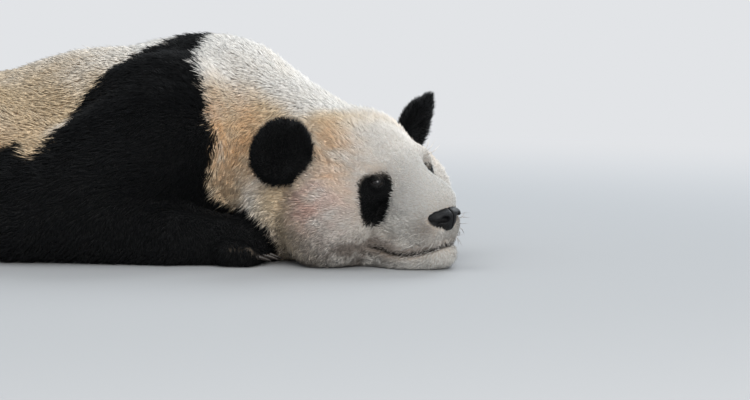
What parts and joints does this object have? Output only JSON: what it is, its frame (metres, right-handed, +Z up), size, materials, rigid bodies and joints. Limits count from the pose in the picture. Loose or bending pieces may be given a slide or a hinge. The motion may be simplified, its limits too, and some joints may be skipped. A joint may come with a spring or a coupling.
{
  "type": "giant panda, life-size still model",
  "caption": "Life-size giant panda lying flat on its front, chin on the ground, head turned to its right, forelegs and hind legs folded along its sides.",
  "frame": {"origin": "middle of the bounding box, on the ground that the animal lies on", "axes": "+X forward along the trunk towards the head, +Y to the animal's left, +Z up"},
  "size_m": [1.4378, 0.868, 0.3583],
  "materials": {
    "fur_white": "long dense fur, cream white, stained warm brown behind the ears and round the neck",
    "fur_black": "long dense fur, brown black with a faint cold sheen",
    "eye": "dark brown eye with a wet clear surface",
    "nose": "bare black nose pad, pebbled and moist",
    "claw": "horn, dark brown grey, paler at the tip"
  },
  "bodies": {
    "root": {"head": "fur_white", "jaw": "fur_white", "neck": "fur_white", "trunk": "fur_white", "tail": "fur_white", "ear_left": "fur_black", "upper_arm_left": "fur_black", "forearm_left": "fur_black", "forepaw_left": "fur_black", "thigh_left": "fur_black", "shank_left": "fur_black", "foot_left": "fur_black", "eye_left": "eye", "claw_forepaw_left_1": "claw", "claw_forepaw_left_2": "claw", "claw_forepaw_left_3": "claw", "claw_forepaw_left_4": "claw", "claw_forepaw_left_5": "claw", "claw_foot_left_1": "claw", "claw_foot_left_2": "claw", "claw_foot_left_3": "claw", "claw_foot_left_4": "claw", "claw_foot_left_5": "claw", "ear_right": "fur_black", "upper_arm_right": "fur_black", "forearm_right": "fur_black", "forepaw_right": "fur_black", "thigh_right": "fur_black", "shank_right": "fur_black", "foot_right": "fur_black", "eye_right": "eye", "claw_forepaw_right_1": "claw", "claw_forepaw_right_2": "claw", "claw_forepaw_right_3": "claw", "claw_forepaw_right_4": "claw", "claw_forepaw_right_5": "claw", "claw_foot_right_1": "claw", "claw_foot_right_2": "claw", "claw_foot_right_3": "claw", "claw_foot_right_4": "claw", "claw_foot_right_5": "claw", "nose": "nose"}
  },
  "joints": []
}
